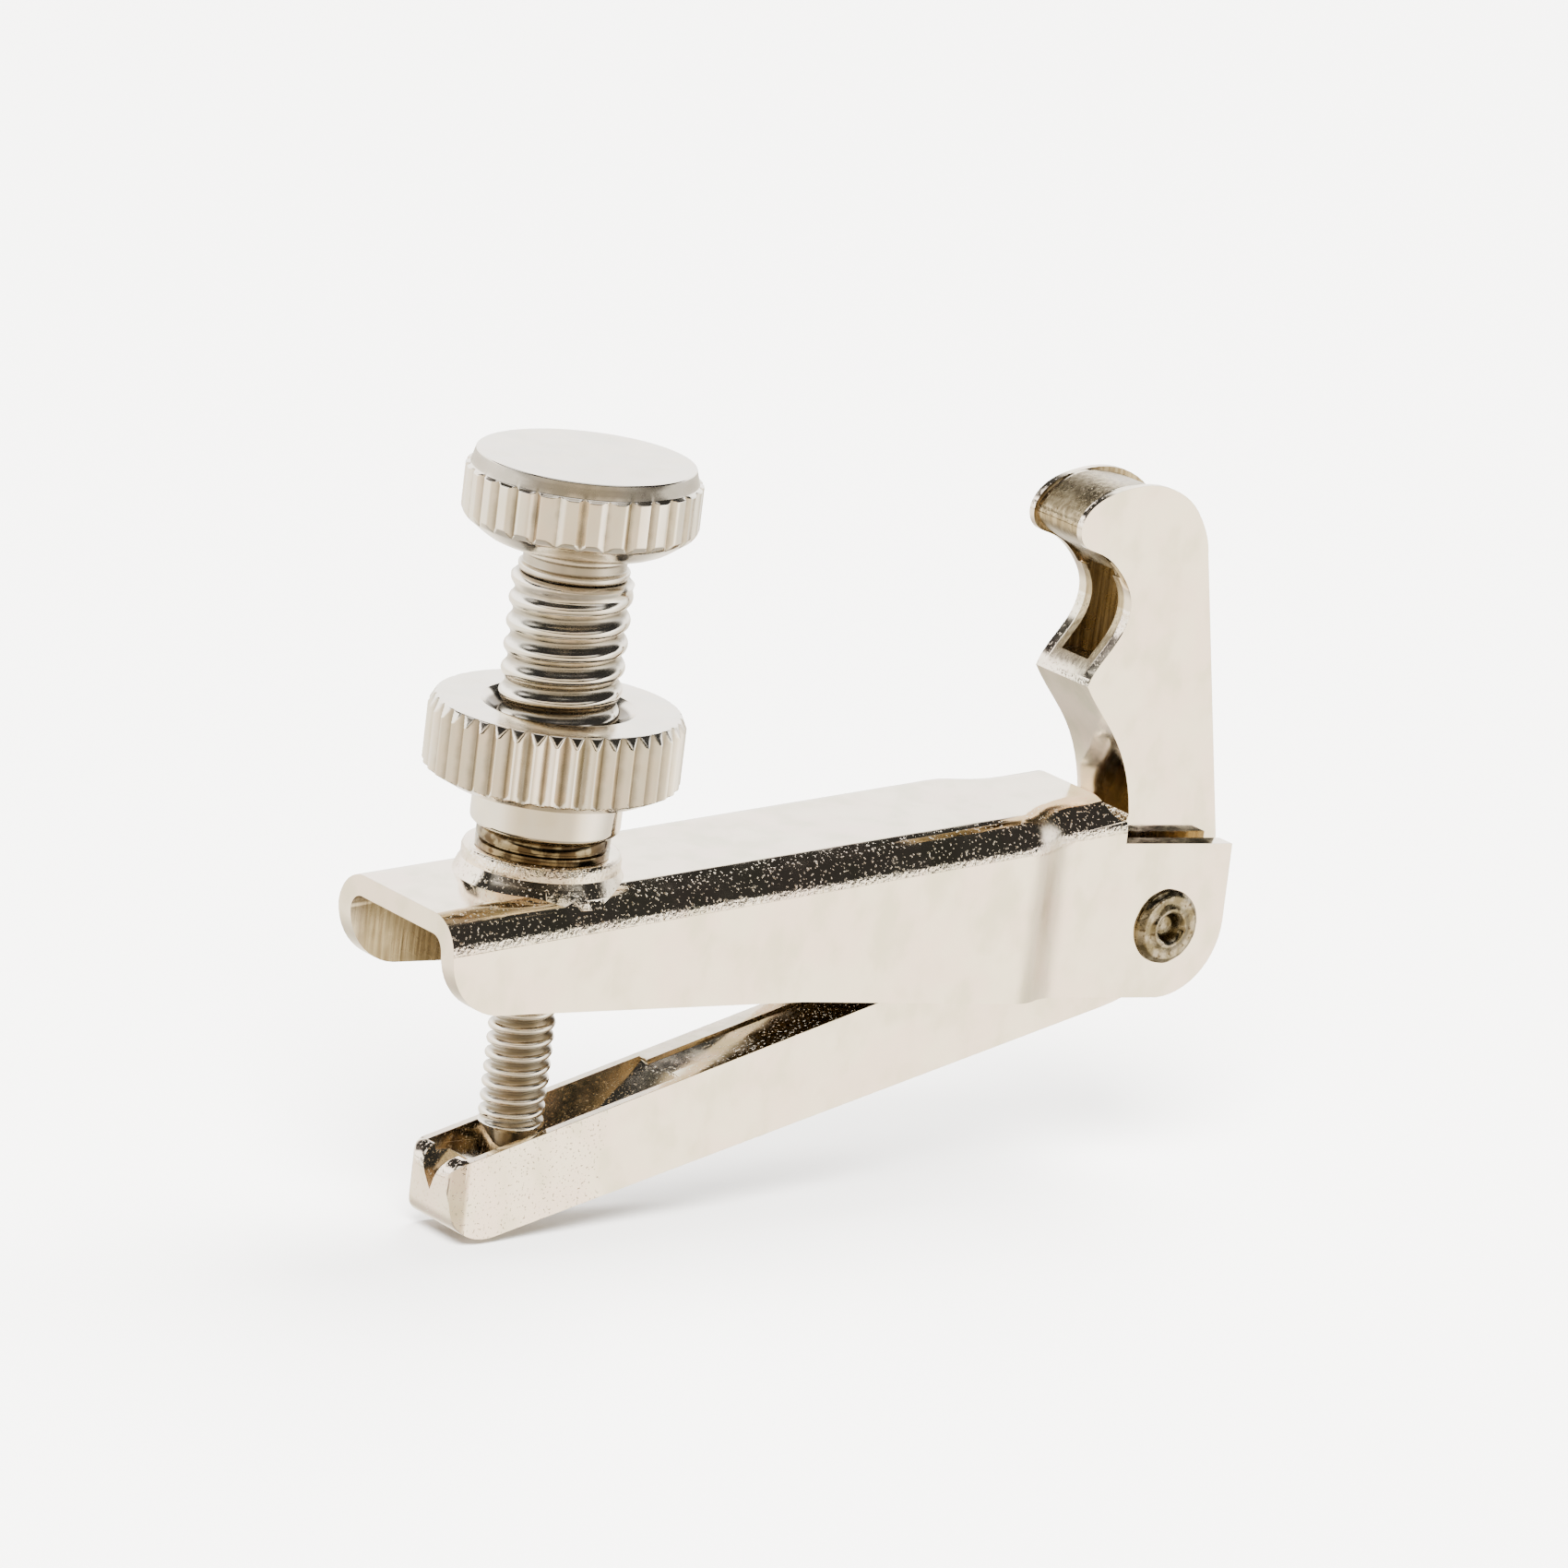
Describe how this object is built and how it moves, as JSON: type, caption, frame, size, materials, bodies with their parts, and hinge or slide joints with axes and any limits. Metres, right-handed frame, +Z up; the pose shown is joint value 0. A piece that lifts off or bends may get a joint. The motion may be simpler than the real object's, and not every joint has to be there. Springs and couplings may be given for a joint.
{
  "type": "bowed string fine tuner",
  "caption": "Fine tuner for a violin or viola tailpiece: a knurled screw rocks a folded lever whose upright arm holds the string's ball end, clamped by a lock nut on a threaded sleeve.",
  "frame": {"origin": "centre of the collar's rim on the screw axis, where the tuner seats in the tailpiece", "axes": "+Z up the screw axis towards the knob, +X along the housing from the screw to the pivot"},
  "size_m": [0.0332, 0.0084, 0.0259],
  "materials": {
    "plated_sheet": "nickel plated, polished",
    "plated_turned": "nickel plated, turned",
    "rivet_metal": "nickel plated, worn"
  },
  "bodies": {
    "frame": {"housing": "plated_sheet", "threaded_sleeve": "plated_turned", "pivot_rivet": "rivet_metal"},
    "washer": {"clamp_washer": "plated_turned"},
    "nut": {"lock_nut": "plated_turned"},
    "stop_ring": {"screw_collar": "plated_turned"},
    "screw": {"screw_head": "plated_turned", "screw_shank": "plated_turned"},
    "rocker": {"lever": "plated_sheet"}
  },
  "joints": [
    {"name": "washer_travel", "type": "slide", "parent": "frame", "child": "washer", "axis": [0, 0, 1], "range_m": [-0.00008, 0.0042]},
    {"name": "nut_turn", "type": "hinge", "parent": "washer", "child": "nut", "pos_m": [0, 0, 0.0035], "axis": [0, 0, 1], "range_deg": [-37, 1939]},
    {"name": "screw_travel", "type": "slide", "parent": "frame", "child": "stop_ring", "axis": [0, 0, 1], "range_m": [0, 0.004]},
    {"name": "screw_turn", "type": "hinge", "parent": "stop_ring", "child": "screw", "pos_m": [0, 0, 0.01], "axis": [0, 0, 1], "range_deg": [0, 2939]},
    {"name": "lever_rock", "type": "hinge", "parent": "frame", "child": "rocker", "pos_m": [0.02492, 0, -0.00415], "axis": [0, 1, 0], "range_deg": [0, 9.2]}
  ],
  "couplings": [
    {"joint": "nut_turn", "follows": "washer_travel", "rad_per_m": 8055.4},
    {"joint": "screw_turn", "follows": "screw_travel", "rad_per_m": 12823},
    {"joint": "lever_rock", "follows": "screw_travel", "rad_per_m": 40}
  ]
}
